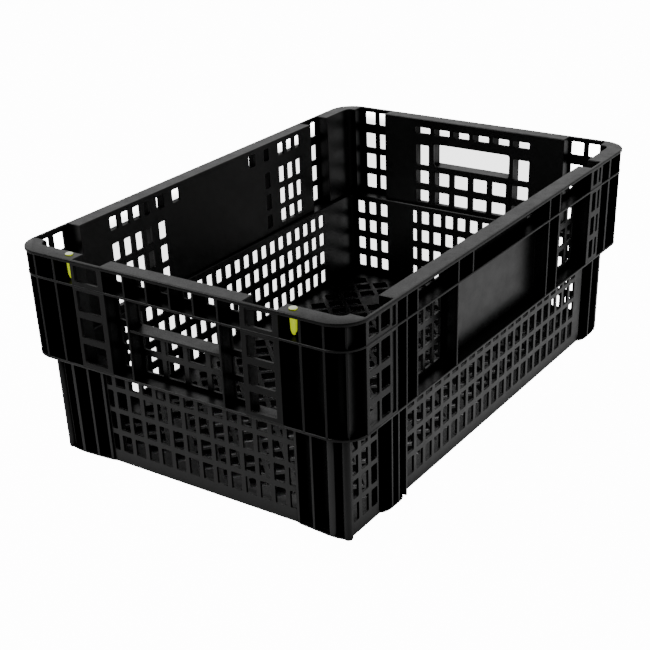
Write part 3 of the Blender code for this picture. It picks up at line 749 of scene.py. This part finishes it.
# ------------------------------------------------------------------ plastics
def crate_finish_and_painted_shade(tree, shader, coord, normal, base):
    """Dust, painted shade in crevices, matt outer faces and a sandy top; returns the colour.
    """
    dust = noise(tree, coord, scale=1100.0, detail=1.0, rough=0.5)
    base = blend_colour(tree, remap(tree, dust, span=(0.68, 0.78), to=(0.0, 0.10)), base,
                        (0.08, 0.078, 0.072, 1.0))

    # painted shade: ambient occlusion darkens the colour of crevices and takes away their
    # gloss
    hollow = add(tree, 'ShaderNodeAmbientOcclusion', {'Distance': 0.028},
                 samples=8, only_local=True).outputs['AO']
    clear_of_painted_shade = remap(tree, hollow, span=(0.55, 0.96), to=(0.02, 1.0), smooth=True)

    # the painted shade is held back on the label panel of the near side, which keeps its
    # colour and gloss there
    spot = split(tree, coord)
    label = maths(tree, 'MULTIPLY',
                  remap(tree, maths(tree, 'ABSOLUTE', spot[0], 0.0),
                        span=(0.085, 0.087), to=(1.0, 0.0)),
                  remap(tree, spot[1], span=(-0.176, -0.178)))
    for value, limits in ((spot[2], dict(span=(0.117, 0.119))),
                          (spot[2], dict(span=(0.200, 0.202), to=(1.0, 0.0))),
                          (hollow, dict(span=(0.16, 0.46), smooth=True))):
        label = maths(tree, 'MULTIPLY', label, remap(tree, value, **limits))
    clear_of_painted_shade = maths(tree, 'MAXIMUM', clear_of_painted_shade, label)
    # painted shade: crevices go near black in colour
    base = blend_colour(tree, clear_of_painted_shade, (0.0002, 0.0002, 0.0002, 1.0), base)

    # outermost upright faces are matt from stacking
    place = split(tree, coord)
    facing_up = split(tree, normal)[2]
    sizes = [maths(tree, 'ABSOLUTE', place[i], 0.0) for i in (0, 1)]
    proud = [remap(tree, size, span=(limit, limit + 0.001))
             for size, limit in zip(sizes, (0.2930, 0.1940))]
    above = remap(tree, place[2], span=(0.1166, 0.1176))
    corner = remap(tree, maths(tree, 'ADD', sizes[0], sizes[1]), span=(0.444, 0.452))
    outer = maths(tree, 'MULTIPLY', maths(tree, 'MAXIMUM', proud[0], proud[1]), above)
    outer = maths(tree, 'MULTIPLY', maths(tree, 'MAXIMUM', outer, corner),
                  remap(tree, facing_up, span=(0.25, 0.5), to=(1.0, 0.0)))

    # faces that look up are sandy
    flat = remap(tree, facing_up, span=(0.7, 0.9))
    grit = noise(tree, coord, scale=950.0, detail=2.0, rough=0.7)
    sandy = maths(tree, 'MULTIPLY', flat,
                  remap(tree, grit, span=(0.35, 0.65), to=(-0.35, 0.35)))

    # painted shade also takes the gloss out of crevices
    shine = remap(tree, clear_of_painted_shade, to=(0.03, 0.5))
    shine = maths(tree, 'MULTIPLY', shine, remap(tree, outer, to=(1.0, 0.5)))
    shine = maths(tree, 'MULTIPLY', shine, maths(tree, 'ADD', sandy, 1.0))
    feed(tree, shader.inputs['Specular IOR Level'], shine)
    return base


def tag_finish_and_painted_light(tree, shader, coord, normal, base):
    """Paler top as a painted highlight, slight translucency, and a day-glow pigment whose
    glow is painted light; returns the colour.
    """
    # painted highlight: faces that look up are paler, as if lit from above
    base = blend_colour(tree, remap(tree, split(tree, normal)[2],
                                    span=(0.2, 0.8), to=(0.0, 0.85)),
                        base, (0.86, 0.88, 0.78, 1.0))
    # painted light: the tag glows in its own colour, painted highlight included; the pigment
    # is really fluorescent, the glow stands in for its brightness
    for key, value in {'Subsurface Weight': 0.2, 'Subsurface Radius': (0.9, 0.8, 0.15),
                       'Subsurface Scale': 0.002, 'Emission Color': base,
                       'Emission Strength': 0.55}.items():
        feed(tree, shader.inputs[key], value)
    return base


def moulded_plastic(name, colour, worn_and_highlight, rough, edge, grain, finish_and_painted_light):
    """Satin moulded plastic: fine leathery grain, patchy gloss, softly broken
    edges that are slightly scuffed and lightened as a painted highlight, and faint scratches."""
    material, tree, shader = new_material(name)
    coord = add(tree, 'ShaderNodeTexCoord').outputs['Object']
    worn_and_highlight = (*worn_and_highlight, 1.0)

    # softened edges, and a mask of them for wear and a painted highlight
    bevel = add(tree, 'ShaderNodeBevel', {'Radius': edge}, samples=6).outputs[0]
    normal = add(tree, 'ShaderNodeNewGeometry').outputs['Normal']
    edge_wear_and_highlight = remap(tree, dot(tree, bevel, normal), span=(0.80, 0.995), to=(1.0, 0.0),
                      smooth=True)

    fine = noise(tree, coord, scale=2600.0, detail=2.0, rough=0.6)
    medium = noise(tree, coord, scale=420.0, detail=3.0, rough=0.55)
    broad = noise(tree, coord, scale=18.0, detail=4.0, rough=0.6)
    mottle = noise(tree, coord, scale=75.0, detail=5.0, rough=0.65)

    # long faint rubs, stretched along the walls
    stretch = add(tree, 'ShaderNodeMapping',
                  {'Scale': (22.0, 26.0, 700.0), 'Vector': coord}).outputs[0]
    rubs = noise(tree, stretch, scale=1.0, detail=4.0, rough=0.7)
    rub_mask = remap(tree, rubs, span=(0.60, 0.74), smooth=True)

    patches = remap(tree, mottle, span=(0.38, 0.66), to=(0.15, 1.0), smooth=True)
    wear_and_highlight = maths(tree, 'MULTIPLY', edge_wear_and_highlight, patches)

    base = blend_colour(tree, remap(tree, broad, span=(0.3, 0.7)),
                        (*colour, 1.0), (*(c * 1.35 for c in colour), 1.0))
    base = blend_colour(tree, remap(tree, rub_mask, to=(0.0, 0.22)), base, worn_and_highlight)
    # edges lightened in colour: scuff wear, and partly a painted highlight on the rounded
    # edges
    base = blend_colour(tree, remap(tree, wear_and_highlight, to=(0.0, 0.55)), base, worn_and_highlight)
    # the finish paints light in: painted shade in the crate's crevices, a painted highlight
    # and a glow on the tags
    base = finish_and_painted_light(tree, shader, coord, normal, base)
    feed(tree, shader.inputs['Base Color'], base)

    roughness = maths(tree, 'ADD',
                      remap(tree, mottle, span=(0.3, 0.7), to=(rough - 0.06, rough + 0.08)),
                      remap(tree, rub_mask, to=(0.0, 0.08)))
    feed(tree, shader.inputs['Roughness'], roughness)

    relief = bump(tree, fine, bevel, strength=0.5, distance=grain)
    relief = bump(tree, medium, relief, strength=0.35, distance=grain * 3)
    feed(tree, shader.inputs['Normal'], relief)
    shader.inputs['IOR'].default_value = 1.49
    material.diffuse_color = (*colour, 1.0)
    return material


# ------------------------------------------------------------ camera and room
# A long lens from the near corner, a little above the rim.
AZIMUTH, ELEVATION, ROLL = (math.radians(angle) for angle in (-55.15, 24.25, -2.12))
CAMERA_DISTANCE = 1.54502
CAMERA_SHIFT = (0.02849, -0.06626)    # how far the view slides left and down
SENSOR_WIDTH, LENS = 36.0, 74.6069538    # mm

# Strengths of glow.
# painted shadow: the second strength dims the floor glow where the crate hides the floor from
# the camera
FLOOR_SEEN, FLOOR_PAINTED_SHADOW = 14.0, 3.0    # seen by the camera: open, hidden by the crate
FLOOR_LEFT, FLOOR_RIGHT = 0.33, 0.72    # seen in reflections, by side of the view
WORLD_FAR, WORLD_DIM = 0.84, 0.006      # reflected room: bright wall, the rest
WORLD_FILL = 0.040                      # room as light on matt surfaces


def camera_view():
    """Camera place, and its right, up and back directions before the roll."""
    back = Vector((math.sin(AZIMUTH) * math.cos(ELEVATION),
                   -math.cos(AZIMUTH) * math.cos(ELEVATION), math.sin(ELEVATION)))
    right = (-back).cross(Vector((0, 0, 1))).normalized()
    up = right.cross(-back)
    place = back * CAMERA_DISTANCE - right * CAMERA_SHIFT[0] - up * CAMERA_SHIFT[1]
    return place, right, up, back


def painted_shadow_depth(tree, coord, position):
    """How deep a floor point lies inside the patch that the crate hides, where the glow is
    dimmed to a painted shadow.
    """
    eye = camera_view()[0]

    def cast(x, y, z):
        grow = eye.z / (eye.z - z)
        return Vector((eye.x + (x - eye.x) * grow, eye.y + (y - eye.y) * grow))

    rims = [cast(side_x * RIM[0] * MM, side_y * RIM[1] * MM, HEIGHT * MM)
            for side_x, side_y in ((-1, 1), (1, 1), (1, -1))]
    # the two sides follow the lower half of the crate, rounded corners included
    radius = CORNER_RADIUS * 0.8
    sides = []
    for side_x, side_y in ((-1, 1), (1, -1)):
        ends = []
        for z in (0.0, LEDGE_BOTTOM):
            drop = DRAFT * (HEIGHT - z)
            x, y = ((foot * (1 - drop / half) - radius) * MM for foot, half in zip(FOOT, RIM))
            ends.append(cast(side_x * x, side_y * y, z * MM))
        sides.append(ends)
    hidden = None
    for start, end, outset in ((sides[0][0], sides[0][1], radius * MM),
                               (rims[0], rims[1], 0.0), (rims[1], rims[2], 0.0),
                               (sides[1][1], sides[1][0], radius * MM)):
        along = (end - start).normalized()
        inward = Vector((along.y, -along.x))
        start = start - inward * outset
        reach = dot(tree, coord, (inward.x, inward.y, 0.0))
        depth = maths(tree, 'SUBTRACT', reach, inward.dot(start))
        hidden = depth if hidden is None else maths(tree, 'MINIMUM', hidden, depth)
    for value, limit in zip(position, (0.268, 0.168)):
        hidden = maths(tree, 'MINIMUM', hidden, maths(tree, 'ADD', value, limit))
    return hidden


def pale_floor():
    mesh = bmesh.new()
    bmesh.ops.create_grid(mesh, x_segments=1, y_segments=1, size=8.0)
    data = bpy.data.meshes.new('floor')
    mesh.to_mesh(data)
    mesh.free()
    floor = bpy.data.objects.new('floor', data)
    bpy.context.scene.collection.objects.link(floor)
    floor.location = (0, 0, -0.0004)
    material, tree, shader = new_material('floor_pale')
    shader.inputs['Base Color'].default_value = (0.80, 0.80, 0.80, 1.0)
    shader.inputs['Roughness'].default_value = 0.9
    shader.inputs['Specular IOR Level'].default_value = 0.1

    # the open floor is lifted towards white, dimmed to a painted shadow where the crate hides
    # it; under the crate it stays in shade
    coord = add(tree, 'ShaderNodeTexCoord').outputs['Object']
    position = split(tree, coord)
    past = [maths(tree, 'SUBTRACT', maths(tree, 'ABSOLUTE', value), limit)
            for value, limit in zip(position, (0.276, 0.176))]
    outside = maths(tree, 'MAXIMUM', past[0], past[1])
    seen = remap(tree, painted_shadow_depth(tree, coord, position), span=(0.003, 0.090),
                 to=(FLOOR_SEEN, FLOOR_PAINTED_SHADOW), smooth=True)
    seen = maths(tree, 'MULTIPLY', seen,
                 remap(tree, outside, span=(-0.012, 0.0), smooth=True))

    # reflections see a softer glow that fades away from the crate; at and under the crate's
    # foot it is cut off as a painted shadow
    across = maths(tree, 'SUBTRACT', position[0], position[1])
    level = remap(tree, across, span=(-0.25, 0.25), to=(FLOOR_LEFT, FLOOR_RIGHT),
                  smooth=True)
    fade_and_painted_shadow = maths(tree, 'MULTIPLY',
                 remap(tree, outside, span=(-0.01, 0.02), smooth=True),
                 remap(tree, outside, span=(0.05, 0.26), to=(1.02, 0.80), smooth=True))
    reflected = maths(tree, 'MULTIPLY', level, fade_and_painted_shadow)
    glow = add(tree, 'ShaderNodeEmission', {
        'Color': (1.0, 1.0, 1.0, 1.0),
        'Strength': by_ray(tree, camera=seen, glossy=reflected, other=0.0)})
    both = add(tree, 'ShaderNodeAddShader', {0: shader.outputs[0], 1: glow.outputs[0]})
    feed(tree, tree.nodes['Material Output'].inputs['Surface'], both.outputs[0])
    floor.data.materials.append(material)


def studio_world():
    """A broad bright wall behind the crate, low down; the rest of the room is dim."""
    world = bpy.data.worlds.new('studio')
    bpy.context.scene.world = world
    world.use_nodes = True
    tree = world.node_tree
    coord = add(tree, 'ShaderNodeTexCoord').outputs['Generated']
    toward = dot(tree, coord, (0.75, 0.52, 0.41))
    sky = remap(tree, toward, span=(0.55, 0.95), to=(WORLD_DIM, WORLD_FAR), smooth=True)
    back = tree.nodes['Background']
    back.inputs['Color'].default_value = (1.0, 1.0, 1.0, 1.0)
    feed(tree, back.inputs['Strength'],
         by_ray(tree, camera=FLOOR_SEEN + 0.6, glossy=sky, other=WORLD_FILL))


def softbox(name, place, size, power):
    """Rectangular light aimed at the crate's middle."""
    light = bpy.data.lights.new(name, 'AREA')
    light.shape = 'RECTANGLE'
    light.size, light.size_y = size
    light.energy = power
    obj = bpy.data.objects.new(name, light)
    bpy.context.scene.collection.objects.link(obj)
    obj.location = place
    obj.rotation_mode = 'QUATERNION'
    aim = Vector((0, 0, 0.1)) - Vector(place)
    obj.rotation_quaternion = aim.to_track_quat('-Z', 'Y')


def camera():
    place, right, up, back = camera_view()
    rolled_right = right * math.cos(ROLL) + up * math.sin(ROLL)
    rolled_up = -right * math.sin(ROLL) + up * math.cos(ROLL)
    data = bpy.data.cameras.new('camera')
    data.sensor_width = SENSOR_WIDTH
    data.lens = LENS
    data.clip_start, data.clip_end = 0.05, 50.0
    obj = bpy.data.objects.new('camera', data)
    bpy.context.scene.collection.objects.link(obj)
    rotation = Matrix((rolled_right, rolled_up, back)).transposed().to_4x4()
    obj.matrix_world = Matrix.Translation(place) @ rotation
    bpy.context.scene.camera = obj


# --------------------------------------------------------------------- build
def hand_over(obj, material, part, replaced):
    obj.data.materials.clear()
    obj.data.materials.append(material)
    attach(obj, part)
    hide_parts(replaced)


crate = build_crate()
crate_plastic = moulded_plastic(
    'crate_plastic_fine', colour=(0.0006, 0.0006, 0.00065), worn_and_highlight=(0.010, 0.010, 0.0096),
    rough=0.34, edge=0.0007, grain=0.00004, finish_and_painted_light=crate_finish_and_painted_shade)
hand_over(crate, crate_plastic, 'crate', 'crate_body')

tag_plastic = moulded_plastic(
    'tag_plastic_fine', colour=(0.60, 0.74, 0.004), worn_and_highlight=(0.85, 0.88, 0.30),
    rough=0.42, edge=0.0004, grain=0.00002, finish_and_painted_light=tag_finish_and_painted_light)
for label, side in (('left', 1), ('right', -1)):
    tag = build_tag('tag_' + label + '_moulding', side)
    hand_over(tag, tag_plastic, 'tag_' + label, 'orientation_tag_' + label)

pale_floor()
studio_world()
softbox('key', place=(-1.0, 1.2, 2.0), size=(1.6, 1.2), power=26.0)
softbox('fill', place=(0.9, -1.9, 1.3), size=(1.4, 1.0), power=7.0)
camera()
